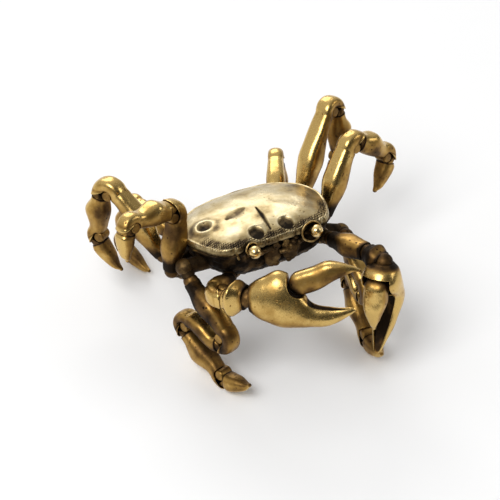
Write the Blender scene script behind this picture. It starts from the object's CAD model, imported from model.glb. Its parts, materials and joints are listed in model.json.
import json
import bpy
import numpy as np
from mathutils import Matrix, Vector


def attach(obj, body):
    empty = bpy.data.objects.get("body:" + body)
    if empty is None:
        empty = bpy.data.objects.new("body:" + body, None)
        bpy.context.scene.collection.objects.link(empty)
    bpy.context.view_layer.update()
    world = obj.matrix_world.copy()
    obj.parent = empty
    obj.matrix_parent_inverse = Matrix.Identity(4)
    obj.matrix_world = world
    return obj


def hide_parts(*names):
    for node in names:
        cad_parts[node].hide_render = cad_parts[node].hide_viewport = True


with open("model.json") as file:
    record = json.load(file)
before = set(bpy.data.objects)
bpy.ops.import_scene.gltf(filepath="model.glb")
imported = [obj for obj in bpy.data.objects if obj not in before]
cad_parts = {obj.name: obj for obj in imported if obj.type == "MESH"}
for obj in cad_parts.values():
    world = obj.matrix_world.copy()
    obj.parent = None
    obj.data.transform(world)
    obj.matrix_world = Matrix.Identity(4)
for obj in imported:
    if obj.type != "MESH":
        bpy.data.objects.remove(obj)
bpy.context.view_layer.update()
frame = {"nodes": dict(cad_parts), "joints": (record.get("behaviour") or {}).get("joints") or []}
joints = {joint["child"]: joint for joint in frame["joints"]}

mm = 0.001  # sizes below are millimetres, meshes are metres
fullTurn = 2 * np.pi
quarterTurn = np.pi / 2
join = np.concatenate

# The body frame: x to the crab's left, y to its rear, z up from the shell's margin, nose tipped up
stance = dict(noseUp=16.0, standX=-2.2, standY=2.3, marginHeight=20.8)
noseTilt = np.radians(stance["noseUp"])
bodyOrigin = np.array([stance["standX"], stance["standY"], stance["marginHeight"]])
bodyAxes = np.array([
    [1, 0, 0],
    [0, np.cos(noseTilt), -np.sin(noseTilt)],
    [0, np.sin(noseTilt), np.cos(noseTilt)],
])


def fromBody(points):
    # point = origin + x * xAxis + y * yAxis + z * zAxis
    return np.asarray(points, float) @ bodyAxes + bodyOrigin


def toBody(points):
    # the way back: the offset from the origin, measured along each axis
    return (np.asarray(points, float) - bodyOrigin) @ bodyAxes.T


def ease(values, low, high):
    # 0 below low, 1 above high, 3t^2 - 2t^3 between
    t = np.clip((values - low) / (high - low), 0, 1)
    return t * t * (3 - 2 * t)


def bell(values, width):
    # exp(-(v / width)^2)
    return np.exp(-((values / width) ** 2))


def tint(values, amount, low, high):
    # amount * ease
    return amount * ease(values, low, high)


def swell(values, amount, place, width):
    # amount * bell, about a place
    return amount * bell(values - place, width)


def unit(vector):
    # the vector divided by its length
    return vector / np.linalg.norm(vector)


def anglesRound(count):
    # even steps round a full turn
    return np.linspace(0, fullTurn, count, endpoint=False)


def ripple(points, wave, seed, waves=8, slowest=0.7, fastest=1.5, gain=1.8):
    # hand-worked unevenness: the mean of sine waves along seeded directions, about -1 to 1
    rng = np.random.default_rng(seed)
    ways = rng.normal(size=(waves, 3))
    ways /= np.linalg.norm(ways, axis=1, keepdims=True)
    turns = ways * (fullTurn / wave) * rng.uniform(slowest, fastest, (waves, 1))
    phases = rng.uniform(0, fullTurn, waves)
    return np.sin(points @ turns.T + phases).mean(axis=-1) * gain


def blotches(points, seed, amount, wave):
    # amount * ripple
    return amount * ripple(points, wave, seed)


def curveThrough(points, count, closed=False):
    # a cubic between each two points, which leaves and meets them along the line joining their neighbours
    points = np.asarray(points, float)
    total = len(points)
    spans = total if closed else total - 1
    place = np.linspace(0, spans, count, endpoint=not closed)
    index = np.minimum(place.astype(int), spans - 1)
    f = (place - index)[:, None]
    if closed:
        a, b, c, d = (points[(index + k) % total] for k in (-1, 0, 1, 2))
    else:
        padded = np.vstack([2 * points[0] - points[1], points, 2 * points[-1] - points[-2]])
        a, b, c, d = (padded[index + 1 + k] for k in (-1, 0, 1, 2))
    return b + 0.5 * f * (c - a + f * (2 * a - 5 * b + 4 * c - d + f * (3 * (b - c) + d - a)))


def roundRing(count, squareness):
    # superellipse: cos and sin raised to 2 / squareness, signs kept
    angle = anglesRound(count)
    power = 2 / squareness
    across = np.sign(np.cos(angle)) * np.abs(np.cos(angle)) ** power
    upward = np.sign(np.sin(angle)) * np.abs(np.sin(angle)) ** power
    return across, upward


def hammered(points, depth, wave, seed, tiny=1e-6):
    # each ring is pushed from its middle by a ripple, and less where it is narrower than four depths
    middle = points.mean(axis=1, keepdims=True)
    out = points - middle
    reach = np.linalg.norm(out, axis=-1, keepdims=True) + tiny
    push = depth * ripple(points, wave, seed)[..., None] * np.minimum(1, reach / (4 * depth + tiny))
    return points + out / reach * push


def shell(points, patina=0.0, wear=0.0):
    # a closed surface: rings of points, with the patina and wear of each point, 0 to 1
    flat = np.ones(points.shape[:2])
    return dict(points=points, patina=np.clip(patina * flat, 0, 1), wear=np.clip(wear * flat, 0, 1))


def ringFaces(rows, columns):
    # four corners from each cell of the grid, columns wrapped, and a fan to a pole at each end
    row, column = np.meshgrid(np.arange(rows - 1), np.arange(columns), indexing="ij")
    after = (column + 1) % columns
    quads = np.stack([row * columns + column, row * columns + after,
                      (row + 1) * columns + after, (row + 1) * columns + column], -1).reshape(-1, 4)
    around = np.arange(columns)
    following = (around + 1) % columns
    last = (rows - 1) * columns
    first = np.full(columns, rows * columns)
    fans = np.vstack([np.stack([first, following, around], -1),
                      np.stack([first + 1, last + around, last + following], -1)])
    return quads, fans


def shellArrays(made):
    # points with the two poles added, and faces turned so that the volume inside is positive
    points = made["points"]
    rows, columns = points.shape[:2]
    poles = np.stack([points[0].mean(axis=0), points[-1].mean(axis=0)])
    verts = np.vstack([points.reshape(-1, 3), poles])
    quads, fans = ringFaces(rows, columns)
    a, b, c, d = (verts[quads[:, k]] - poles[0] for k in range(4))
    inside = np.einsum("ij,ij->", a, np.cross(b, c)) + np.einsum("ij,ij->", a, np.cross(c, d))
    if inside < 0:
        quads, fans = quads[:, ::-1], fans[:, ::-1]
    tones = []
    for tone in ("patina", "wear"):
        grid = made[tone]
        tones.append(join([grid.reshape(-1), [grid[0].mean(), grid[-1].mean()]]))
    return verts, quads, fans, tones[0], tones[1]


def addObject(name, data):
    # a new object, linked to the scene
    made = bpy.data.objects.new(name, data)
    bpy.context.scene.collection.objects.link(made)
    return made


def makePiece(name, shells, body, material, slot, *replaced):
    # joins the shells of one piece in one mesh, which rides its body in place of the plain solids
    verts, faces, patina, wear = [], [], [], []
    count = 0
    for made in shells:
        points, quads, fans, dark, worn = shellArrays(made)
        verts.append(points)
        faces += (quads + count).tolist() + (fans + count).tolist()
        patina.append(dark)
        wear.append(worn)
        count += len(points)
    mesh = bpy.data.meshes.new(name)
    mesh.from_pydata((np.vstack(verts) * mm).tolist(), [], faces)
    mesh.polygons.foreach_set("use_smooth", np.ones(len(mesh.polygons), bool))
    for tone, values in (("patina", patina), ("wear", wear)):
        attribute = mesh.attributes.new(tone, "FLOAT", "POINT")
        attribute.data.foreach_set("value", join(values).astype(np.float32))
    mesh.update()
    mesh.materials.append(material)
    piece = addObject(name, mesh)
    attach(piece, body)
    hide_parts(*replaced)


def plainName(node):
    # front_leg_left_toe becomes frontLegLeftToe
    first, *rest = node.split("_")
    return first + "".join(word.capitalize() for word in rest)


# Brass: a ramp from polished to blackened, read at patina + mottling + pits - wear
limbFinish = dict(
    polished=(0.60, 0.405, 0.135), warm=(0.37, 0.215, 0.055),
    brown=(0.13, 0.07, 0.024), black=(0.02, 0.013, 0.008),
    warmAt=0.34, brownAt=0.66, smooth=0.24, dull=0.62, mottle=0.30, pits=0.55, pitSize=0.9, relief=0.025,
)
shellFinish = dict(
    polished=(0.56, 0.47, 0.29), warm=(0.38, 0.29, 0.14),
    brown=(0.13, 0.09, 0.045), black=(0.020, 0.015, 0.010),
    warmAt=0.40, brownAt=0.72, smooth=0.30, dull=0.60, mottle=0.42, pits=0.45, pitSize=0.8, relief=0.04,
)
bodyFinish = dict(
    polished=(0.50, 0.35, 0.15), warm=(0.27, 0.17, 0.06),
    brown=(0.09, 0.055, 0.025), black=(0.014, 0.010, 0.007),
    warmAt=0.30, brownAt=0.60, smooth=0.34, dull=0.70, mottle=0.40, pits=0.5, pitSize=0.7, relief=0.09,
)
eyeFinish = dict(
    polished=(0.84, 0.62, 0.28), warm=(0.60, 0.40, 0.14),
    brown=(0.22, 0.13, 0.05), black=(0.03, 0.02, 0.01),
    warmAt=0.36, brownAt=0.70, smooth=0.20, dull=0.55, mottle=0.30, pits=0.3, pitSize=0.6, relief=0.03,
)
pinFinish = dict(
    polished=(0.62, 0.45, 0.20), warm=(0.40, 0.26, 0.10),
    brown=(0.15, 0.09, 0.04), black=(0.02, 0.014, 0.009),
    warmAt=0.30, brownAt=0.62, smooth=0.32, dull=0.62, mottle=0.8, pits=0.3, pitSize=0.4, relief=0.03,
)
# What all finishes share: each noise's size, detail and roughness, the part of it that counts, and gains
brassForm = dict(
    mottleNoise=(3.2, 5.0, 0.62), mottleSpan=(0.25, 0.75), patchNoise=(2.4, 2.0, 0.5), patchSpan=(0.48, 0.66),
    pitSpan=(0.10, 0.26), grainNoise=(0.22, 3.0, 0.6), grainSpan=(0.3, 0.7), lumpNoise=(1.3, 3.0, 0.5),
    patinaGain=1.15, wearGain=0.45, plainDark=0.35, grainSheen=0.06,
    grainHeight=0.35, pitHeight=1.4, lumpHeight=1.2,
)


def mapRange(tree, value, span, newSpan):
    # a node that carries the values of one span over to another
    node = tree.nodes.new("ShaderNodeMapRange")
    for socket, amount in zip(("From Min", "From Max", "To Min", "To Max"), (*span, *newSpan)):
        node.inputs[socket].default_value = amount
    tree.links.new(value, node.inputs["Value"])
    return node


def brass(name, finish, readsTones=True):
    # darkness = mottling + pits + patina - wear; it sets the ramp's colour and the roughness
    form = brassForm
    material = bpy.data.materials.new(name)
    material.use_nodes = True
    nodes, links = material.node_tree.nodes, material.node_tree.links
    shader = nodes["Principled BSDF"]
    shader.inputs["Metallic"].default_value = 1.0
    place = nodes.new("ShaderNodeTexCoord").outputs["Object"]

    def noise(size, detail, roughness):
        texture = nodes.new("ShaderNodeTexNoise")
        texture.inputs["Scale"].default_value = 1 / (size * mm)
        texture.inputs["Detail"].default_value = detail
        texture.inputs["Roughness"].default_value = roughness
        links.new(place, texture.inputs["Vector"])
        return texture.outputs["Fac"]

    def spread(value, span, newLow, newHigh):
        return mapRange(material.node_tree, value, span, (newLow, newHigh)).outputs["Result"]

    def total(first, second, operation="ADD"):
        node = nodes.new("ShaderNodeMath")
        node.operation = operation
        for socket, value in zip(node.inputs, (first, second)):
            if isinstance(value, float):
                socket.default_value = value
            else:
                links.new(value, socket)
        return node.outputs[0]

    def times(value, gain):
        return total(value, gain, "MULTIPLY")

    mottling = spread(noise(*form["mottleNoise"]), form["mottleSpan"], -finish["mottle"], finish["mottle"])
    pitCells = nodes.new("ShaderNodeTexVoronoi")
    pitCells.inputs["Scale"].default_value = 1 / (finish["pitSize"] * mm)
    links.new(place, pitCells.inputs["Vector"])
    patches = spread(noise(*form["patchNoise"]), form["patchSpan"], 0.0, 1.0)
    pits = times(spread(pitCells.outputs["Distance"], form["pitSpan"], 1.0, 0.0), patches)
    grain = noise(*form["grainNoise"])
    darkness = total(mottling, times(pits, finish["pits"]))
    if readsTones:
        tones = {}
        for tone in ("patina", "wear"):
            attribute = nodes.new("ShaderNodeAttribute")
            attribute.attribute_name = tone
            tones[tone] = attribute.outputs["Fac"]
        darkness = total(darkness, times(tones["patina"], form["patinaGain"]))
        darkness = total(darkness, times(tones["wear"], form["wearGain"]), "SUBTRACT")
    else:
        darkness = total(darkness, form["plainDark"])
    ramp = nodes.new("ShaderNodeValToRGB")
    stops = ramp.color_ramp.elements
    stops[0].position, stops[1].position = 0.0, 1.0
    stops[0].color, stops[1].color = (*finish["polished"], 1), (*finish["black"], 1)
    stops.new(finish["warmAt"]).color = (*finish["warm"], 1)
    stops.new(finish["brownAt"]).color = (*finish["brown"], 1)
    links.new(darkness, ramp.inputs["Fac"])
    links.new(ramp.outputs["Color"], shader.inputs["Base Color"])
    sheen = spread(darkness, (0.0, 1.0), finish["smooth"], finish["dull"])
    sheen = total(sheen, spread(grain, form["grainSpan"], -form["grainSheen"], form["grainSheen"]))
    links.new(sheen, shader.inputs["Roughness"])
    height = total(times(grain, form["grainHeight"]), times(pits, form["pitHeight"]), "SUBTRACT")
    height = total(height, times(noise(*form["lumpNoise"]), form["lumpHeight"]))
    bump = nodes.new("ShaderNodeBump")
    bump.inputs["Strength"].default_value = 1.0
    bump.inputs["Distance"].default_value = finish["relief"] * mm
    links.new(height, bump.inputs["Height"])
    links.new(bump.outputs["Normal"], shader.inputs["Normal"])
    return material


limbBrass = brass("limbBrass", limbFinish)
paleBrass = brass("paleBrass", shellFinish)
darkBrass = brass("darkBrass", bodyFinish)
eyeBrass = brass("eyeBrass", eyeFinish)
pinBrass = brass("pinBrass", pinFinish, readsTones=False)
print("finishes made")

# Hinges: how near the ends of a piece come to a pin, how they lie beside it in a fold, and how far a sleeve
# laps the next piece, in degrees
hinge = dict(
    reach=1.02, endShare=0.94, pointShare=0.45, stubGrow=0.6, bulge=0.35, capLap=33, straighten=10,
    pinch=0.26, pinchSpan=(100, 140), inset=0.55, insetSpan=(80, 125),
)
# Pieces of a limb: the grid, the hammer's dents, where the sections stand and how much of the arch they have
limbForm = dict(
    around=64, along=76, squareness=2.7, dent=0.05, dentWave=4.2, fine=0.008, fineWave=1.1,
    shoulder=0.16, middle=0.48, rootArch=0.4, drumArch=0.3, tipArch=0.7, tipLean=0.3, stub=0.15, poleGap=0.1,
)
# Their patina and wear: over the whole piece, from the root outward, and towards the far end. Here and below
# a blotch is an amount and a wave, and three numbers are what tint or swell takes
limbTone = dict(
    base=0.06, blotch=(0.14, 4.0), underside=(0.42, 0.0, 0.9), flank=(0.22, 0.8, 1.0), ridge=(0.35, 0.6, 1.0),
    foldDark=(0.55, 0.3), hipDark=(0.8, 3.2), drumDark=0.7,
    pointWear=0.4, pointFrom=0.6, pointTone=(0.2, 0.3), endDark=0.5, endRun=0.8, endTone=(0.9, 0.0),
)


def pieceFrame(start, end, axis):
    # x to the next hinge, y along the hinge axis, z = x cross y
    run = end - start
    run = run - axis * (run @ axis)
    x = unit(run)
    return dict(origin=start, x=x, y=axis, z=np.cross(x, axis), length=np.linalg.norm(run))


def toWorld(f, local):
    # point = origin + x * xAxis + y * yAxis + z * zAxis
    return f["origin"] + local[..., :1] * f["x"] + local[..., 1:2] * f["y"] + local[..., 2:] * f["z"]


def localRings(x, halfWidth, halfHeight, middle, squareness, around):
    # one superellipse at each x, as wide and high as given there, its middle raised
    across, upward = roundRing(around, squareness)
    return np.stack([
        x[:, None] + 0 * across,
        halfWidth[:, None] * across,
        middle[:, None] + halfHeight[:, None] * upward,
    ], -1)


def limbRings(x, halfWidth, halfHeight, middle):
    # sections of a limb, at one middle or at one each
    return localRings(x, halfWidth, halfHeight, middle + 0 * x, limbForm["squareness"], limbForm["around"])


def turnedRings(hingeX, x, halfWidth, halfHeight, middle, angles, flex):
    # one section per angle, turned about the hinge at hingeX towards the flexing side
    across, upward = roundRing(limbForm["around"], limbForm["squareness"])
    height = middle + halfHeight[:, None] * upward
    cosine, sine = np.cos(angles)[:, None], np.sin(angles)[:, None]
    return np.stack([
        hingeX + (x - hingeX) * cosine + flex * height * sine,
        halfWidth[:, None] * across,
        height * cosine - flex * (x - hingeX) * sine,
    ], -1)


# Knobs about the pins: a ball where the limb isn't folded, and a barrel where it is
knobForm = dict(
    ball=dict(radius=1.3, halfWidth=1.3, patina=0.7, squareness=2.0),
    barrel=dict(radius=0.98, halfWidth=1.3, patina=0.5, squareness=6.0),
    around=40, dent=0.02, dentWave=1.2, wear=0.15,
)


def latitudes(rows=34, poleGap=0.06):
    # even steps from near one pole of a round form to near the other
    return np.linspace(poleGap, np.pi - poleGap, rows)


def knobShell(f, seed, radius, halfWidth, patina, squareness):
    # a superellipse turned about the hinge axis: a ball, or a barrel where the squareness is high
    turn, angle = latitudes(), anglesRound(knobForm["around"])
    power = 2 / squareness
    out = radius * np.sin(turn)[:, None] ** power
    side = halfWidth * np.sign(np.cos(turn)) * np.abs(np.cos(turn)) ** power
    local = np.stack([out * np.cos(angle), side[:, None] + 0 * angle, out * np.sin(angle)], -1)
    points = hammered(toWorld(f, local), knobForm["dent"], knobForm["dentWave"], seed)
    return shell(points, patina, knobForm["wear"])


# Roots: a plug that turns in the sleeve of the piece before, or a low dome where the limb isn't folded
rootForm = dict(
    dome=0.7, domeRows=7, domeGap=0.12, domeDark=0.9,
    plugShare=0.87, plugTurn=44, plugRows=10, plugDark=0.22, closing=(0.3, 0.85),
    shoulder=(0.91, 0.965), shoulderDark=(0.85, 0.6),
)


def rootRows(x, wide, tall, middle, flex):
    # the dome is a quarter turn of growing sections; the plug is the first section made smaller and turned
    # back about the hinge, with a shoulder where it joins the piece
    form = rootForm
    if flex == 0:
        dome = np.linspace(form["domeGap"], quarterTurn, form["domeRows"])[:-1]
        rows = limbRings(x - form["dome"] * np.cos(dome), wide * np.sin(dome), tall * np.sin(dome), middle)
        return rows, np.full(len(dome), form["domeDark"]), np.zeros(len(dome))
    shares = form["plugShare"] * join([form["closing"], np.ones(form["plugRows"])])
    back = join([np.ones(len(form["closing"])), np.linspace(1.0, 0.0, form["plugRows"])])
    turns = -np.radians(form["plugTurn"]) * back
    plug = turnedRings(0.0, x, wide * shares, tall * shares, middle, turns, flex)
    shoulder = np.array(form["shoulder"])
    step = limbRings(np.full(len(shoulder), x), wide * shoulder, tall * shoulder, middle)
    rows = join([plug, step])
    dark = join([np.full(len(plug), form["plugDark"]), form["shoulderDark"]])
    return rows, dark, np.zeros(len(rows))


def drumRows(drum, steps=12):
    # half a round drum about the hinge: sections that grow to its full half width and radius
    halfWidth, radius = drum
    turn = np.linspace(limbForm["poleGap"], quarterTurn, steps)[:-1]
    rows = limbRings(-radius * np.cos(turn), halfWidth * np.sqrt(np.sin(turn)), radius * np.sin(turn), 0.0)
    return rows, limbTone["drumDark"] * np.cos(turn), np.zeros(len(turn))


# Sleeves: the far end carried on round the next hinge to a flared lip, which rolls in to a hollow
sleeveForm = dict(
    rows=28, extra=11, flare=0.08, flareWidth=0.35, roll=(0.02, 0.012, -0.03), rollShare=(1.06, 1.0),
    hollowShare=0.95, hollowDepth=30, hollowTurns=(0.4, 1.0, 1.0), shutShare=0.4,
    cuffDark=(0.25, 0.9, 0.35), gleamWidth=0.45, rollDark=(0.0, 0.5), rollWear=(0.9, 0.3),
)


def sleeveRows(f, x, wide, tall, middle, flex, capTurn):
    # the last section turned about the far hinge, flared to a lip, and turned back inside as a hollow
    form = sleeveForm
    turn = np.radians(capTurn + form["extra"])
    angles = np.linspace(0, turn, form["rows"])[1:]
    toLip = (turn - angles) * 2 * tall
    flared = 1 + form["flare"] * bell(toLip, form["flareWidth"])
    depth = np.radians(form["hollowDepth"])
    hollow = [form["hollowShare"]] * 3 + [form["shutShare"]]
    rolled, inside = turn + np.array(form["roll"]), turn - depth * np.array(form["hollowTurns"])
    angles = join([angles, rolled, inside])
    shares = join([flared, form["rollShare"], hollow])
    rows = turnedRings(f["length"], x, wide * shares, tall * shares, middle, angles, flex)
    dark = join([swell(toLip, *form["cuffDark"]), form["rollDark"], np.ones(len(hollow))])
    worn = join([bell(toLip, form["gleamWidth"]), form["rollWear"], np.zeros(len(hollow))])
    return rows, dark, worn


def endRows(x, wide, tall, middle, stub, tone, steps=7):
    # a rounded end: a quarter turn of falling sections
    turn = np.linspace(0, quarterTurn, steps)[1:-1]
    rows = limbRings(x + stub * np.sin(turn), wide * np.cos(turn), tall * np.cos(turn), middle)
    return rows, np.full(len(turn), tone[0]), np.full(len(turn), tone[1])


def limbStations(start, far, girths, rootZ, tipZ, arch, bulge, drum, pointed):
    # five sections (distance, half width, half height, middle): both ends, a shoulder by each, and the middle
    (rootWide, rootTall), (midWide, midTall), (tipWide, tipTall) = girths
    form, share, point = limbForm, hinge["endShare"], hinge["pointShare"]
    shoulder = (far - start) * form["shoulder"]
    stations = [
        (start, rootWide * share, rootTall * share, rootZ),
        (start + shoulder, rootWide, rootTall, rootZ + arch * form["rootArch"]),
        ((start + far) * form["middle"], midWide, midTall, (rootZ + tipZ) / 2 + arch + bulge),
        (far - shoulder, tipWide, tipTall, tipZ),
        (far, tipWide * share, tipTall * share, tipZ),
    ]
    if drum is not None:
        stations[0] = (0.0, *drum, 0.0)
        stations[1] = (start + shoulder, rootWide, rootTall, arch * form["drumArch"])
    if pointed:
        stations[3] = (far - shoulder, tipWide, tipTall, rootZ * form["tipLean"] + arch * form["tipArch"])
        stations[4] = (far, tipWide * point, tipTall * point, 0.0)
    return stations


def limbShell(f, girths, rootFlex, tipFlex, capTurn, arch, seed,
              rootGrow=0.0, drum=None, shade=0.0, insets=(0, 0)):
    # superellipse sections carried along x from a plug to the far hinge, and then round it as a sleeve;
    # a drum is a round root about the hinge, and tipFlex None leaves a point
    form, tone = limbForm, limbTone
    pointed = tipFlex is None
    rootZ = rootFlex * (girths[0][1] - insets[0])
    tipZ = 0.0 if pointed else tipFlex * (girths[2][1] - insets[1])
    bulge = hinge["bulge"] * rootFlex if rootFlex == tipFlex else 0.0
    grow = hinge["stubGrow"] if tipFlex == 0 else 0.0
    start = hinge["reach"] - rootGrow
    far = f["length"] if pointed else f["length"] - hinge["reach"] + grow
    stations = limbStations(start, far, girths, rootZ, tipZ, arch, bulge, drum, pointed)
    x, wide, tall, middle = curveThrough(stations, form["along"]).T
    first = (x[0], wide[0], tall[0], middle[0])
    last = (far, wide[-1], tall[-1], middle[-1])

    root = rootRows(*first, rootFlex) if drum is None else drumRows(drum)
    amount, run = tone["foldDark" if rootFlex else "hipDark"]
    dark = amount * (1 - ease(x, start, start + run)) if drum is None else np.zeros(len(x))
    worn = np.zeros(len(x))
    if pointed:
        end = endRows(*last, last[2], tone["pointTone"])
        worn = tone["pointWear"] * ease(x, far * tone["pointFrom"], far)
    elif capTurn is not None:
        end = sleeveRows(f, *last, tipFlex, capTurn)
    else:
        end = endRows(*last, form["stub"], tone["endTone"])
        dark = dark + tone["endDark"] * ease(x, far - tone["endRun"], far)
    stretches = [root, (limbRings(x, wide, tall, middle), dark, worn), end]
    rows, dark, worn = (join(arrays) for arrays in zip(*stretches))

    across, upward = roundRing(form["around"], form["squareness"])
    flexSide = -np.ones((len(rows), 1)) * upward * (tipFlex or rootFlex or 1)
    points = hammered(toWorld(f, rows), form["dent"], form["dentWave"], seed)
    points = hammered(points, form["fine"], form["fineWave"], seed + 1)
    patina = shade + tone["base"] + dark[:, None] + tint(flexSide, *tone["underside"])
    patina = patina + blotches(points, seed + 2, *tone["blotch"]) + tint(np.abs(across), *tone["flank"])
    return shell(points, patina, worn[:, None] + tint(-flexSide, *tone["ridge"]))


def limbShells(f, girths, rootFlex, tipFlex, capTurn, arch, seed, shade=0.0, insets=(0, 0)):
    # a folded root has a barrel about its pin; one that is not folded has a ball, and comes nearer to it
    rootGrow = 0.0 if rootFlex else hinge["stubGrow"]
    knob = knobForm["barrel" if rootFlex else "ball"]
    return [
        limbShell(f, girths, rootFlex, tipFlex, capTurn, arch, seed, rootGrow, shade=shade, insets=insets),
        knobShell(f, seed + 5, **knob),
    ]


def foldForm(bend):
    # a sharp fold has pinched ends that lie beside the pin; a slight one has full ends that reach round it
    pinch = 1 - hinge["pinch"] * ease(bend, *hinge["pinchSpan"])
    return pinch, hinge["inset"] * (1 - ease(bend, *hinge["insetSpan"]))


def pinched(girths, share, rootPinch, tipPinch):
    # all sizes made smaller alike, and then the half heights of the two ends
    pinches = (rootPinch, 1.0, tipPinch)
    return [(wide * share, tall * share * pinch) for (wide, tall), pinch in zip(girths, pinches)]


def hingeOf(body):
    # a point on the hinge that carries a body, and the way of its axis
    joint = joints[body]
    return np.array(joint["pos_m"]) / mm, np.array(joint["axis"])


def tipOf(node, start, tipDepth=0.08):
    # the middle of the farthest points of the solid from its hinge
    mesh = frame["nodes"][node].data
    points = np.zeros(len(mesh.vertices) * 3)
    mesh.vertices.foreach_get("co", points)
    points = points.reshape(-1, 3) / mm
    away = np.linalg.norm(points - start, axis=1)
    return points[away > away.max() - tipDepth].mean(axis=0)


def bendOf(before, after):
    # the angle from one piece's x to the next one's, in degrees
    return np.degrees(np.arccos(np.clip(before["x"] @ after["x"], -1, 1)))


def capTurnOf(bend):
    # how far a sleeve goes round its hinge, in degrees
    return bend - hinge["straighten"] + hinge["capLap"]


def dressLimb(node, shells):
    # one piece of a limb, in place of its solid
    makePiece(plainName(node), shells, node, limbBrass, "limb_brass", node)


# Legs: half width and half height of each piece at its root, middle and far end
legForm = dict(
    thigh=((1.4, 1.4), (2.0, 2.15), (1.75, 1.75)),
    knee_link=((1.75, 1.7), (1.85, 1.8), (1.75, 1.7)),
    shin=((1.75, 1.75), (2.05, 2.1), (1.55, 1.5)),
    toe=((1.55, 1.5), (1.35, 1.3), (0.75, 0.75)),
    toeArch=0.4, rearShare=0.85,
    blackened=dict(front_leg_right_thigh=0.42, front_leg_right_knee_link=0.30, front_leg_left_thigh=0.2),
)


def dressLeg(leg, seed):
    # the pieces run from hinge to hinge in one plane, and each folds to the side that its hinge's axis gives
    linked = f"{leg}_knee_link" in joints
    names = ["thigh", "knee_link", "shin", "toe"] if linked else ["thigh", "shin", "toe"]
    hinges = [hingeOf(f"{leg}_{name}") for name in names]
    axis = hinges[0][1]
    flexes = [0] + [int(np.sign(way @ axis)) for _, way in hinges[1:]]
    points = [point for point, _ in hinges]
    points.append(tipOf(f"{leg}_toe", points[-1]))
    frames = [pieceFrame(a, b, axis) for a, b in zip(points[:-1], points[1:])]
    share = legForm["rearShare"] if leg.startswith("rear") else 1.0
    bends = [0.0] + [bendOf(a, b) for a, b in zip(frames[:-1], frames[1:])] + [0.0]
    folds = [foldForm(bend) for bend in bends]
    for number, name in enumerate(names):
        node = f"{leg}_{name}"
        girths = pinched(legForm[name], share, folds[number][0], folds[number + 1][0])
        insets = (folds[number][1] if number else 0.0, folds[number + 1][1])
        tipFlex, capTurn, arch = None, None, 0.0
        if name == "toe":
            arch = flexes[number] * legForm["toeArch"]
        else:
            tipFlex, capTurn = flexes[number + 1], capTurnOf(bends[number + 1])
        shade = legForm["blackened"].get(node, 0.0)
        dressLimb(node, limbShells(frames[number], girths, flexes[number], tipFlex, capTurn, arch,
                                   seed + 10 * number, shade, insets))


legNames = [child[:-len("_thigh")] for child in joints if child.endswith("_thigh")]
for order, leg in enumerate(legNames):
    dressLeg(leg, 100 * (order + 1))
print("legs dressed:", len(legNames))

# Claws: as the solids have them, with each palm's sections along its length
# (distance, thickness share, half height, middle) and the hinge of its moving finger
clawForm = {
    "claw_right": dict(
        arm=((1.3, 1.3), (1.7, 1.6), (1.7, 1.6)), wrist=((1.7, 1.6), (3.0, 2.6), (2.2, 1.9)),
        palm=((0.35, 0.66, 2.3, 0.0), (1.5, 0.78, 3.2, 0.0), (2.9, 0.9, 3.9, 0.0), (5.3, 1.0, 4.8, 0.0),
              (8.1, 0.9, 4.1, -0.8), (10.2, 0.7, 2.3, -2.5), (13.7, 0.5, 1.6, -2.8),
              (16.9, 0.24, 0.7, -2.0), (17.6, 0.12, 0.35, -1.8)),
        finger=((1.6, 2.0), (1.5, 1.75), (0.6, 0.65)), drum=(1.5, 2.0), fingerHinge=(8.9, 2.8), socket=2.1,
        innerFrom=9.6, thickness=5.2, slotHalf=9.0, knob=1.6, arch=0.9, shade=0.0, foldedElbow=True,
    ),
    "claw_left": dict(
        arm=((1.4, 1.4), (1.9, 1.9), (1.6, 1.6)), wrist=((1.7, 1.6), (2.1, 2.1), (1.7, 1.5)),
        palm=((0.2, 0.6, 1.9, 0.2), (1.1, 0.84, 2.8, 0.4), (2.7, 1.0, 3.4, 0.5), (4.2, 1.0, 3.5, -0.3),
              (6.2, 0.95, 2.2, -2.1), (9.0, 0.8, 1.7, -2.2), (12.5, 0.55, 1.3, -1.5),
              (15.6, 0.26, 0.6, -0.2), (16.4, 0.12, 0.3, 0.2)),
        finger=((2.05, 1.6), (1.6, 1.35), (0.7, 0.65)), drum=(2.0, 1.75), fingerHinge=(3.9, 2.4), socket=1.85,
        innerFrom=5.2, thickness=6.6, slotHalf=2.15, knob=1.5, arch=0.45, shade=0.35, foldedElbow=False,
    ),
}
# Both palms: the grid and its rounded ends, the finger's slot, the hollow between the rims, and the tones
palmForm = dict(
    rows=150, around=128, squareness=2.25, rootDome=0.3, rootSteps=8, pointDome=0.25, pointSteps=6,
    poleGap=0.12, slotFloor=0.6, slotSoft=0.35, innerRun=1.5, rimSpan=(0.52, 0.74), hollowLevel=0.35,
    base=0.06, blotch=(0.14, 4.5), rootDark=0.8, rootSpan=(0.3, 1.2), sunkDark=(0.85, 0.05, 0.3),
    underside=(0.25, 0.5, 1.0), rimWear=0.8, rimFace=(0.2, 0.5), rimEdge=(0.0, 0.15), pointWear=(0.2, 14, 17),
)


def palmFrameOf(claw, wristPoint, form):
    # the finger's hinge gives y, and its place on the palm gives x and z
    fingerPoint, fingerAxis = hingeOf(f"{claw}_finger")
    y = -fingerAxis
    along = unit(fingerPoint - wristPoint)
    beside = np.cross(along, y)
    turn = np.arctan2(form["fingerHinge"][1], form["fingerHinge"][0])
    x = np.cos(turn) * along - np.sin(turn) * beside
    return dict(origin=wristPoint, x=x, y=y, z=np.cross(x, y))


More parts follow.
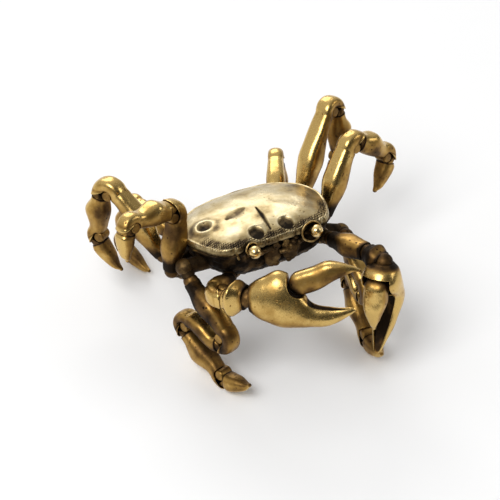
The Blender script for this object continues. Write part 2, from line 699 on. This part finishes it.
def palmShell(f, form, seed):
    # superellipse sections along x; a slot round the finger's root is sunk to the socket's circle, and the
    # inner face of the fixed finger is sunk between two rims
    both = palmForm
    x, share, tall, middle = curveThrough(form["palm"], both["rows"]).T
    wide = form["thickness"] / 2 * share
    dome = np.linspace(both["poleGap"], quarterTurn, both["rootSteps"])[:-1]
    point = np.linspace(0, quarterTurn, both["pointSteps"])[1:-1]
    x = join([x[0] - both["rootDome"] * np.cos(dome), x, x[-1] + both["pointDome"] * np.sin(point)])
    wide = join([wide[0] * np.sin(dome), wide, wide[-1] * np.cos(point)])
    tall = join([tall[0] * np.sin(dome), tall, tall[-1] * np.cos(point)])
    middle = join([np.full(len(dome), middle[0]), middle, np.full(len(point), middle[-1])])
    rings = localRings(x, wide, tall, middle, both["squareness"], both["around"])
    lateral, height = np.abs(rings[..., 1]), rings[..., 2]
    hingeX, hingeZ = form["fingerHinge"]
    fromHinge = np.clip(np.abs(x - hingeX) / form["socket"], 0, 1)
    floor = np.maximum(hingeZ - form["socket"] * np.sqrt(1 - fromHinge**2), middle - tall + both["slotFloor"])
    beside = ease(lateral, form["slotHalf"], form["slotHalf"] + both["slotSoft"])
    slot = (fromHinge < 1)[:, None] * (1 - beside)
    sunk = slot * np.maximum(0, height - floor[:, None])
    inner = ease(x, form["innerFrom"], form["innerFrom"] + both["innerRun"])[:, None]
    hollow = inner * (1 - ease(lateral / wide[:, None], *both["rimSpan"]))
    flat = (middle + both["hollowLevel"] * tall)[:, None]
    sunk = np.maximum(sunk, hollow * np.maximum(0, height - flat))
    rings[..., 2] = height - sunk
    points = hammered(toWorld(f, rings), limbForm["dent"], limbForm["dentWave"], seed)
    upward = roundRing(both["around"], both["squareness"])[1] * np.ones((len(x), 1))
    patina = both["rootDark"] * (1 - ease(x, *both["rootSpan"]))[:, None] + tint(sunk, *both["sunkDark"])
    patina = patina + both["base"] + blotches(points, seed + 2, *both["blotch"])
    patina = patina + tint(-upward, *both["underside"])
    rim = inner * ease(upward, *both["rimFace"]) * (1 - ease(sunk, *both["rimEdge"]))
    return shell(points, patina, both["rimWear"] * rim + tint(x, *both["pointWear"])[:, None])


def dressClaw(claw, seed):
    # arm and wrist are limb pieces, the palm has a ball at the wrist, and the finger is a point on a drum
    form = clawForm[claw]
    hinges = [hingeOf(f"{claw}_{name}") for name in ("arm", "wrist", "palm")]
    axis = hinges[0][1]
    shoulder, elbow, wrist = (point for point, _ in hinges)
    palmFrame = palmFrameOf(claw, wrist, form)
    frames = [
        pieceFrame(shoulder, elbow, axis),
        pieceFrame(elbow, wrist, axis),
        pieceFrame(wrist, wrist + palmFrame["x"], axis),
    ]
    elbowFlex = int(np.sign(hinges[1][1] @ axis)) if form["foldedElbow"] else 0
    flexes = [0, elbowFlex, 0]
    for number, name in enumerate(("arm", "wrist")):
        tipFlex = flexes[number + 1]
        capTurn = capTurnOf(bendOf(frames[number], frames[number + 1])) if tipFlex else None
        shells = limbShells(frames[number], form[name], flexes[number], tipFlex, capTurn, 0.0,
                            seed + 10 * number, form["shade"])
        dressLimb(f"{claw}_{name}", shells)
    ball = dict(knobForm["ball"], radius=form["knob"], halfWidth=form["knob"])
    palm = palmShell(palmFrame, form, seed + 30)
    dressLimb(f"{claw}_palm", [palm, knobShell(frames[2], seed + 35, **ball)])
    fingerPoint, fingerAxis = hingeOf(f"{claw}_finger")
    fingerFrame = pieceFrame(fingerPoint, tipOf(f"{claw}_finger", fingerPoint), -fingerAxis)
    finger = limbShell(fingerFrame, form["finger"], 0, None, None, form["arch"], seed + 40, drum=form["drum"])
    dressLimb(f"{claw}_finger", [finger])


for order, claw in enumerate(clawForm):
    dressClaw(claw, 1000 + 100 * order)
print("claws dressed")

# Upper shell: the margin in plan, half of it from front to rear (a pair is a share of a half width, and a
# place along the way), then the dome, the lip and the hollow below, and the marks on the dome
marginForm = dict(
    frontHalf=9.8, wideHalf=12.7, frontY=-9.3, wideY=1.0, rearY=8.9, rightFuller=0.07, leftLeaner=0.04,
    frontBend=(0.55, 0.1), cornerBack=1.2, foreSide=(0.96, 0.42), rearSide=(0.86, 0.53), rearBend=(0.5, 0.92),
)
domeForm = dict(
    height=2.3, power=2.6, edge=0.85, lipHeight=0.9, lipShare=0.985, lipRoll=0.012, wall=1.0, innerDrop=0.3,
    underShares=(0.96, 0.93), around=540, topRows=150, lipRows=9, innerRows=24, topGap=0.012, innerGap=0.02,
    frontSpan=(5.5, 7.5), rimSpan=(0.84, 1.0), ridge=(0.24, 0.988, 0.018), uneven=(0.05, 3.6),
    base=0.16, blotch=(0.14, 5.0), hollowDark=0.85, lipDark=0.8, rimWear=(1.2, 0.995, 0.022),
    edgeDark=(0.22, 0.70, 0.95),
)
pitForm = dict(radius=1.4, floor=1.0, depth=0.48, dark=0.62, halo=(0.0, 0.0, 1.0),
               rim=0.0, rimAt=1.08, rimWidth=0.25, rimLow=1.0, rimWear=0.4)
craterForm = dict(radius=1.45, floor=0.4, depth=0.5, dark=0.45, halo=(0.25, 2.2, 0.5),
                  rim=0.22, rimAt=1.1, rimWidth=0.5, rimLow=0.45, rimWear=0.8)
shellMarks = dict(
    bowls=(((-10.0, -0.7), craterForm), ((-3.6, -7.3), pitForm), ((2.0, -7.3), pitForm)), rimSpan=(-1.2, 1.0),
    strokes=(
        dict(start=(-6.07, -1.6), end=(-2.41, -0.45), width=0.95, ends=0.3, depth=0.3, dark=0.45),
        dict(start=(-0.49, -1.48), end=(-1.07, -7.6), width=0.26, ends=0.45, depth=0.3, dark=0.7),
    ),
    grainBand=(0.82, 0.9), grainFront=(2.0, 5.0), grainSize=0.42, grainHeight=0.045,
    grainDark=0.34, grainShade=0.45,
    notches=(-8.6, -2.9, -0.33, 2.89, 8.3), notchDepth=0.26, notchWidth=0.3,
    orbitX=5.85, orbitWidth=1.25, orbitRise=0.55, orbitDepth=0.7,
)


def marginLine(count):
    # a closed curve through points of the left half, and of the same half mirrored and made fuller
    form = marginForm
    front, wide, rear = form["frontY"], form["wideY"], form["rearY"]
    frontHalf, wideHalf = form["frontHalf"], form["wideHalf"]
    half = [
        (0, front),
        (frontHalf * form["frontBend"][0], front + form["frontBend"][1]),
        (frontHalf, front + form["cornerBack"]),
        (wideHalf * form["foreSide"][0], (front + wide) * form["foreSide"][1]),
        (wideHalf, wide),
        (wideHalf * form["rearSide"][0], (wide + rear) * form["rearSide"][1]),
        (wideHalf * form["rearBend"][0], rear * form["rearBend"][1]),
        (0, rear),
    ]
    fuller, leaner = 1 + form["rightFuller"], 1 - form["leftLeaner"]
    both = [(x * leaner, y) for x, y in half] + [(-x * fuller, y) for x, y in reversed(half[1:-1])]
    return curveThrough(both, count, closed=True)


def fromStroke(x, y, start, end):
    # distance from each point to a straight stroke, and the share of the way along it
    start, run = np.array(start), np.array(end) - np.array(start)
    share = ((x - start[0]) * run[0] + (y - start[1]) * run[1]) / (run @ run)
    near = np.clip(share, 0, 1)
    return np.hypot(x - start[0] - near * run[0], y - start[1] - near * run[1]), near


def domeRows():
    # share s of the margin and height of each ring: a dome of height * (1 - s^power)^edge, a rolled lip below
    # it, and a smaller dome back inside
    form = domeForm
    turn = np.linspace(quarterTurn - form["topGap"], 0, form["topRows"])
    lip = np.linspace(0, 1, form["lipRows"])[1:]
    inside = np.linspace(0, quarterTurn - form["innerGap"], form["innerRows"])
    innerShare, innerHeight = 1 - form["wall"] / abs(marginForm["frontY"]), form["height"] - form["wall"]
    rolled = 1 + form["lipRoll"] * np.sin(lip * np.pi) - (1 - form["lipShare"]) * lip
    share = join([np.cos(turn), rolled, form["underShares"], innerShare * np.cos(inside)])
    dome = form["height"] * (1 - np.cos(turn) ** form["power"]) ** form["edge"]
    under = [-form["lipHeight"]] * len(form["underShares"])
    inner = innerHeight * np.sin(inside) - form["innerDrop"] * np.cos(inside)
    height = join([dome, -form["lipHeight"] * lip, under, inner])
    row = np.arange(len(share))[:, None]
    isTop = (row < len(turn)).astype(float)
    isLip = (row < len(turn) + len(lip)).astype(float) - isTop
    return share, height, isTop, isLip


def sinkMarks(x, y, z, patina, wear, isTop):
    # crater and pits are bowls of eased depth with worn rims; dent and groove are bells about a stroke
    for (placeX, placeY), form in shellMarks["bowls"]:
        away = np.hypot(x - placeX, y - placeY)
        bowl = 1 - ease(away, form["floor"], form["radius"])
        rim = bell(away - form["radius"] * form["rimAt"], form["rimWidth"])
        rim = rim * (form["rimLow"] + (1 - form["rimLow"]) * ease(placeX - x, *shellMarks["rimSpan"]))
        z = z - isTop * (form["depth"] * bowl - form["rim"] * rim)
        patina = patina + isTop * (form["dark"] * bowl + swell(away, *form["halo"]))
        wear = wear + isTop * rim * form["rimWear"]
    for form in shellMarks["strokes"]:
        away, along = fromStroke(x, y, form["start"], form["end"])
        sink = bell(away, form["width"] * (form["ends"] + (1 - form["ends"]) * np.sin(np.pi * along)))
        z = z - isTop * form["depth"] * sink
        patina = patina + isTop * form["dark"] * sink
    return z, patina, wear


def dressUpperShell():
    # the margin drawn to each ring's share; the rim's front is pulled back at notches and orbits, the marks
    # are sunk in the dome's height, and a band of fine grain follows the front margin
    form, marks = domeForm, shellMarks
    share, height, isTop, isLip = domeRows()
    line = marginLine(form["around"])
    x, y = share[:, None] * line[:, 0], share[:, None] * line[:, 1]
    z = height[:, None] * np.ones(form["around"])
    atFront = ease(-line[:, 1], *form["frontSpan"])
    nearRim = ease(share, *form["rimSpan"])[:, None]
    notch = sum(bell(line[:, 0] - place, marks["notchWidth"]) for place in marks["notches"])
    orbit = bell(np.abs(line[:, 0]) - marks["orbitX"], marks["orbitWidth"])
    y = y + atFront * (marks["notchDepth"] * notch + marks["orbitDepth"] * orbit) * nearRim**2
    z = z + atFront * marks["orbitRise"] * orbit * nearRim**2
    z = z + isTop * swell(share, *form["ridge"])[:, None]
    patina = form["base"] + form["hollowDark"] * (1 - isTop) * (1 - isLip)
    patina = patina + isLip * np.linspace(0, form["lipDark"], len(share))[:, None]
    wear = (isTop + isLip) * swell(share, *form["rimWear"])[:, None]
    z, patina, wear = sinkMarks(x, y, z, patina, wear, isTop)
    points = np.stack([x, y, z], -1)
    band = isTop * ease(share, *marks["grainBand"])[:, None] * ease(-y, *marks["grainFront"])
    grain = ripple(points, marks["grainSize"], 71)
    points[..., 2] += band * marks["grainHeight"] * grain + isTop * blotches(points, 72, *form["uneven"])
    patina = patina + band * (marks["grainDark"] - marks["grainShade"] * grain)
    patina = patina + isTop * blotches(points, 73, *form["blotch"])
    patina = patina + isTop * tint(share, *form["edgeDark"])[:, None]
    made = shell(fromBody(points), patina, wear)
    makePiece("upperShell", [made], "body", paleBrass, "pale_brass", "carapace")


dressUpperShell()
print("upper shell dressed")

# Lower body: the tub under the margin (share of the margin and of the depth at each level) with a flat face,
# and for each limb a strut from its anchor to a bead and a neck from there to its hinge (the anchor, and the
# degrees that a leg's neck is turned by; a claw's looks to its anchor)
tubForm = dict(
    depth=6.6, inset=0.5, faceY=-8.0, faceHalf=7.0, faceSoft=1.2, around=260, rows=110, poleShare=0.02,
    levels=((0.5, 0.0), (1.0, 0.0), (0.99, 0.15), (0.95, 0.45), (0.86, 0.68), (0.72, 0.85), (0.55, 1.0),
            (0.3, 1.0)),
    rough=0.16, roughWave=1.6, fineShare=0.6, sideShare=(0.5, 0.7), sideDepth=(0.03, 0.2),
    dark=0.78, blotch=(0.28, 2.2), wear=(0.15, 0.5, 0.8),
)
lugForm = dict(
    strut=1.35, strutDark=0.8, bead=1.5, beadTone=(0.55, 0.3), neck=1.2, neckDark=0.7, reach=2.6, stop=1.0,
)
hipLugs = dict(
    front_leg_right=((-9.0, -3.0, -4.0), 120), front_leg_left=((8.6, -2.4, -5.0), 190),
    second_leg_right=((-9.5, -0.4, -4.4), 205), second_leg_left=((8.5, 0.6, -4.4), 200),
    third_leg_right=((-9.0, 2.6, -4.4), 195), third_leg_left=((6.5, 3.6, -4.4), 200),
    rear_leg_right=((-6.6, 4.2, -4.2), 185), rear_leg_left=((5.0, 4.0, -4.4), 190),
    claw_right=((-5.5, -2.5, -5.4), None), claw_left=((7.0, -3.0, -4.4), None),
)


def barShell(start, end, radius, patina, seed, around=36, steps=14, capSteps=6, poleGap=0.15, capShare=0.4,
             dent=0.06, dentWave=1.5, wear=0.1, squareness=2.0, upright=(0.1, 0.2, 1.0)):
    # a round bar between two points, its ends domed
    axis = unit(end - start)
    side = unit(np.cross(axis, upright))
    f = dict(origin=start, x=axis, y=side, z=np.cross(axis, side))
    length = np.linalg.norm(end - start)
    dome = np.linspace(poleGap, quarterTurn, capSteps)
    bulge = capShare * radius * np.cos(dome)
    run = np.linspace(0, length, steps)[1:-1]
    x = join([-bulge, run, length + bulge[::-1]])
    thick = join([radius * np.sin(dome), np.full(len(run), radius), radius * np.sin(dome[::-1])])
    rings = localRings(x, thick, thick, np.zeros_like(x), squareness, around)
    return shell(hammered(toWorld(f, rings), dent, dentWave, seed), patina, wear)


def ballShell(middle, radii, patina, wear, seed, rough=0.04, roughWave=1.2, around=52):
    # rings of latitude of an ellipsoid, in body coordinates
    turn, angle = latitudes(), anglesRound(around)
    points = np.stack([np.sin(turn)[:, None] * np.cos(angle), np.sin(turn)[:, None] * np.sin(angle),
                       np.cos(turn)[:, None] + 0 * angle], -1)
    points = fromBody(points * np.array(radii) + np.array(middle))
    return shell(hammered(points, rough, roughWave, seed), patina, wear)


def tubShell():
    # the margin drawn to the share of each level, from the middle of the top down to the middle of the belly
    form = tubForm
    full = 1 - form["inset"] / marginForm["wideHalf"]
    levels = [(full * share, depth) for share, depth in form["levels"]]
    share, depth = curveThrough([(form["poleShare"], 0.0), *levels, (form["poleShare"], 1.0)], form["rows"]).T
    line = marginLine(form["around"])
    x, y = share[:, None] * line[:, 0], share[:, None] * line[:, 1]
    z = -domeForm["lipHeight"] - form["depth"] * np.clip(depth, 0, 1)[:, None] + 0 * x
    flatFace = 1 - ease(np.abs(x), form["faceHalf"] - form["faceSoft"], form["faceHalf"])
    y = np.where(y < form["faceY"], y + (form["faceY"] - y) * flatFace, y)
    points = fromBody(np.stack([x, y, z], -1))
    side = ease(share, *form["sideShare"])[:, None] * ease(depth, *form["sideDepth"])[:, None]
    points[..., 2] += side * form["rough"] * ripple(points, form["roughWave"], 81)
    points = hammered(points, form["rough"] * form["fineShare"], form["roughWave"] * form["fineShare"], 82)
    patina = form["dark"] + blotches(points, 83, *form["blotch"])
    return shell(points, patina, tint(depth, *form["wear"])[:, None])


def lugShells(limb, place, neckTurn, order):
    # strut, bead and neck; the bead lies at the lug's reach from the hinge, at the neck's angle from the way
    # that is square to the hinge axis and to the body's up, or towards a claw's anchor
    form = lugForm
    point, axis = hingeOf(limb + ("_thigh" if "_leg_" in limb else "_arm"))
    anchor = fromBody(place)
    if neckTurn is None:
        inward = anchor - point
        bead = point + form["reach"] * unit(inward - axis * (inward @ axis))
    else:
        outward = unit(np.cross(axis, bodyAxes[2]))
        turn = np.radians(neckTurn)
        bead = point + form["reach"] * (np.cos(turn) * outward + np.sin(turn) * bodyAxes[2])
    neckEnd = point - form["stop"] * pieceFrame(bead, point, axis)["x"]
    return [
        barShell(bead, anchor, form["strut"], form["strutDark"], 200 + order),
        ballShell(toBody(bead), [form["bead"]] * 3, *form["beadTone"], 220 + order),
        barShell(bead, neckEnd, form["neck"], form["neckDark"], 240 + order),
    ]


def dressLowerBody():
    # the tub and the ten lugs in one piece
    shells = [tubShell()]
    for order, (limb, lug) in enumerate(hipLugs.items()):
        shells += lugShells(limb, *lug, order)
    makePiece("lowerBody", shells, "body", darkBrass, "dark_brass", "under_shell")


dressLowerBody()
print("lower body dressed")

# Face: eyes on stalks in cups (middle, radius, opening), and mouth plates (middle, half sizes) with small
# ragged lumps round them, in body coordinates
eyeForm = dict(
    radius=1.1, x=shellMarks["orbitX"], y=-10.7, z=-0.3, seatY=-6.8, seatZ=-2.6, stalk=0.55,
    ballTone=(0.12, 0.35), ballRough=0.03, stalkDark=0.75,
    spur=((-8.2, -8.5, -0.6), (-8.0, -8.9, -1.8)), spurRadius=0.24, spurDark=0.3,
)
cupForm = dict(
    cups=(((-5.75, -10.3, -0.15), 1.45, 62), ((5.35, -10.2, -0.55), 1.95, 84)), way=(0, -1, 0.1), wall=0.28,
    rows=22, around=44, poleGap=0.08, dent=0.05, dentWave=0.9, dark=0.75, rimBright=0.5, rimRows=2.0,
)
plateForm = dict(
    plates=(
        ((-1.7, -8.55, -3.5), (1.5, 0.55, 1.95)), ((1.7, -8.55, -3.5), (1.5, 0.55, 1.95)),
        ((-0.75, -8.75, -1.95), (0.7, 0.35, 0.55)), ((0.85, -8.75, -2.05), (0.65, 0.35, 0.6)),
        ((-2.45, -8.75, -1.9), (0.5, 0.3, 0.45)), ((2.5, -8.75, -1.95), (0.55, 0.3, 0.45)),
        ((-1.2, -8.85, -5.0), (0.55, 0.3, 0.4)), ((1.15, -8.85, -5.0), (0.5, 0.3, 0.42)),
    ),
    tone=(0.72, 0.3), rough=0.12,
)
lumpForm = dict(
    count=16, halfSpan=4.9, y=-8.7, ySpan=(-0.25, 0.15), high=-1.3, low=-3.0, size=0.5, sizeSpan=(0.6, 1.3),
    tone=(0.7, 0.45), seed=340,
)


def cupShell(middle, radius, opening, seed):
    # a round cup in body coordinates: a cap of a ball out to its rim, and a smaller one back inside
    form = cupForm
    way = unit(np.array(form["way"], float))
    side = unit(np.cross(way, [0, 0, 1.0]))
    over = np.cross(side, way)
    rows, angle = form["rows"], anglesRound(form["around"])
    outside = np.linspace(form["poleGap"], np.radians(opening), rows)
    turn = join([outside, outside[::-1]])
    size = join([np.full(rows, radius), np.full(rows, radius - form["wall"])])
    circle = np.cos(angle)[:, None] * side + np.sin(angle)[:, None] * over
    points = np.array(middle) - (size * np.cos(turn))[:, None, None] * way
    points = points + (size * np.sin(turn))[:, None, None] * circle
    rim = bell(np.arange(2 * rows) - (rows - 0.5), form["rimRows"])[:, None]
    points = hammered(fromBody(points), form["dent"], form["dentWave"], seed)
    return shell(points, form["dark"] - form["rimBright"] * rim, rim)


def dressEyes():
    # a ball in front of each orbit, and a stalk from it back to its seat in the face
    form = eyeForm
    shells = []
    for order, hand in enumerate((-1, 1)):
        middle = (hand * form["x"], form["y"], form["z"])
        seat = fromBody((hand * form["x"], form["seatY"], form["seatZ"]))
        radii = [form["radius"]] * 3
        shells.append(ballShell(middle, radii, *form["ballTone"], 300 + order, form["ballRough"]))
        shells.append(barShell(fromBody(middle), seat, form["stalk"], form["stalkDark"], 310 + order))
    makePiece("eyeBalls", shells, "body", eyeBrass, "eye_brass", "eyes")


def dressMouth():
    # the plates, a row of lumps of seeded place and size, the cups of the eyes and a spur of the margin
    plates, lumps = plateForm, lumpForm
    shells = [ballShell(middle, half, *plates["tone"], 320 + order, plates["rough"])
              for order, (middle, half) in enumerate(plates["plates"])]
    rng = np.random.default_rng(lumps["seed"])
    for order, x in enumerate(np.linspace(-lumps["halfSpan"], lumps["halfSpan"], lumps["count"])):
        middle = (x, lumps["y"] + rng.uniform(*lumps["ySpan"]), rng.uniform(lumps["low"], lumps["high"]))
        half = lumps["size"] * rng.uniform(*lumps["sizeSpan"], 3)
        shells.append(ballShell(middle, half, *lumps["tone"], 345 + order, plates["rough"]))
    for order, cup in enumerate(cupForm["cups"]):
        shells.append(cupShell(*cup, 365 + order))
    start, end = (fromBody(point) for point in eyeForm["spur"])
    shells.append(barShell(start, end, eyeForm["spurRadius"], eyeForm["spurDark"], 370))
    makePiece("mouthPlates", shells, "body", darkBrass, "dark_brass", "mouth_plates")


dressEyes()
dressMouth()

# Tail: a tapering plate folded under the belly, with a groove between its rings
tailForm = dict(
    width=7.0, length=6.4, thickness=0.9, y=0.6, taper=75, rows=90, around=96, squareness=7.0,
    grooves=5, groove=(0.16, 0.0, 0.25), grooveShare=0.6, endPower=16, endLeast=0.0004, thinnest=0.01,
    dark=0.45, grooveDark=(0.5, 0.0, 0.3), blotch=(0.15, 2.0), wear=0.2,
)


def dressTail():
    # flat superellipse sections carried along y, narrowing to the front, their width nipped at each groove
    form = tailForm
    y = np.linspace(-form["length"] / 2, form["length"] / 2, form["rows"])
    narrow = form["length"] / np.tan(np.radians(form["taper"]))
    wide = form["width"] / 2 - narrow * (0.5 - y / form["length"])
    ring = np.abs(np.sin(np.pi * form["grooves"] * (y / form["length"] + 0.5)))
    nip = swell(ring, *form["groove"])
    ends = np.sqrt(np.clip(1 - (2 * y / form["length"]) ** form["endPower"], form["endLeast"], 1))
    bellyZ = -domeForm["lipHeight"] - tubForm["depth"]
    f = dict(origin=fromBody((0, form["y"], bellyZ - form["thickness"] / 2)), x=bodyAxes[1], y=bodyAxes[0],
             z=-bodyAxes[2])
    tall = np.maximum(form["thickness"] / 2 * ends - nip * form["grooveShare"], form["thinnest"])
    rings = localRings(y, (wide - nip) * ends, tall, np.zeros_like(y), form["squareness"], form["around"])
    points = toWorld(f, rings)
    patina = form["dark"] + swell(ring, *form["grooveDark"])[:, None] + blotches(points, 91, *form["blotch"])
    made = shell(points, patina, form["wear"])
    makePiece("tailFlap", [made], "body", darkBrass, "dark_brass", "tail_apron")


dressTail()
print("face and tail dressed")

# Pins stay as the solids, in their own finish
for node, solid in frame["nodes"].items():
    if node.endswith(("_pins", "_pin")):
        solid.data.materials.clear()
        solid.data.materials.append(pinBrass)

# Floor, light and camera: the floor and the lamps in metres, the camera in millimetres
studio = dict(
    floorColour=(0.93, 0.93, 0.93), floorHalf=2.0, floorDrop=0.00002, floorRough=0.9, floorGloss=0.1,
    skyLevels=(0.08, 0.75), skyWay=(-0.25, 0.85, 0.35), skySpan=(-0.5, 0.8), lampAim=(0, 0, 0.015),
    aim=(-7.45, -5.40, 21.37), lens=172.8, sensor=36.0, distance=400.0,
    right=(0.8793, -0.4744, 0.0419), up=(0.3048, 0.6281, 0.7158),
)
lamps = dict(
    key=dict(place=(-0.28, -0.12, 0.42), size=0.26, power=1.5),
    rear=dict(place=(0.10, 0.45, 0.28), size=0.34, power=1.0),
    side=dict(place=(0.40, -0.20, 0.26), size=0.20, power=0.4),
)


def layFloor():
    # one square, a hair below the toes
    half = studio["floorHalf"]
    mesh = bpy.data.meshes.new("floor")
    corners = [(-half, -half), (half, -half), (half, half), (-half, half)]
    mesh.from_pydata([(x, y, -studio["floorDrop"]) for x, y in corners], [], [(0, 1, 2, 3)])
    floor = addObject("floor", mesh)
    material = bpy.data.materials.new("paleFloor")
    material.use_nodes = True
    shader = material.node_tree.nodes["Principled BSDF"]
    shader.inputs["Base Color"].default_value = (*studio["floorColour"], 1)
    shader.inputs["Roughness"].default_value = studio["floorRough"]
    shader.inputs["Specular IOR Level"].default_value = studio["floorGloss"]
    mesh.materials.append(material)


def lightSky():
    # brightness rises with the cosine between a direction and skyWay
    world = bpy.data.worlds.new("studioSky")
    bpy.context.scene.world = world
    world.use_nodes = True
    nodes, links = world.node_tree.nodes, world.node_tree.links
    way = nodes.new("ShaderNodeTexCoord").outputs["Generated"]
    lean = nodes.new("ShaderNodeVectorMath")
    lean.operation = "DOT_PRODUCT"
    lean.inputs[1].default_value = unit(np.array(studio["skyWay"]))
    links.new(way, lean.inputs[0])
    level = mapRange(world.node_tree, lean.outputs["Value"], studio["skySpan"], studio["skyLevels"])
    level.interpolation_type = "SMOOTHSTEP"
    links.new(level.outputs["Result"], nodes["Background"].inputs["Strength"])
    nodes["Background"].inputs["Color"].default_value = (1, 1, 1, 1)


def hangLamps():
    # each lamp looks at the middle of the crab
    for name, lamp in lamps.items():
        data = bpy.data.lights.new(name, "AREA")
        data.size = lamp["size"]
        data.energy = lamp["power"]
        light = addObject(name, data)
        light.location = lamp["place"]
        way = Vector(studio["lampAim"]) - light.location
        light.rotation_euler = way.to_track_quat("-Z", "Y").to_euler()


def placeCamera():
    # place = aim + back * distance, where back is square to the view's right and up
    right = Vector(studio["right"]).normalized()
    up = Vector(studio["up"])
    up = (up - right * up.dot(right)).normalized()
    back = right.cross(up)
    data = bpy.data.cameras.new("photoView")
    data.lens = studio["lens"]
    data.sensor_width = studio["sensor"]
    camera = addObject("photoView", data)
    place = (Vector(studio["aim"]) + back * studio["distance"]) * mm
    turned = Matrix((right, up, back)).transposed().to_4x4()
    camera.matrix_world = Matrix.Translation(place) @ turned
    bpy.context.scene.camera = camera


layFloor()
lightSky()
hangLamps()
placeCamera()
bpy.context.scene.view_settings.view_transform = "Standard"
print("studio ready")
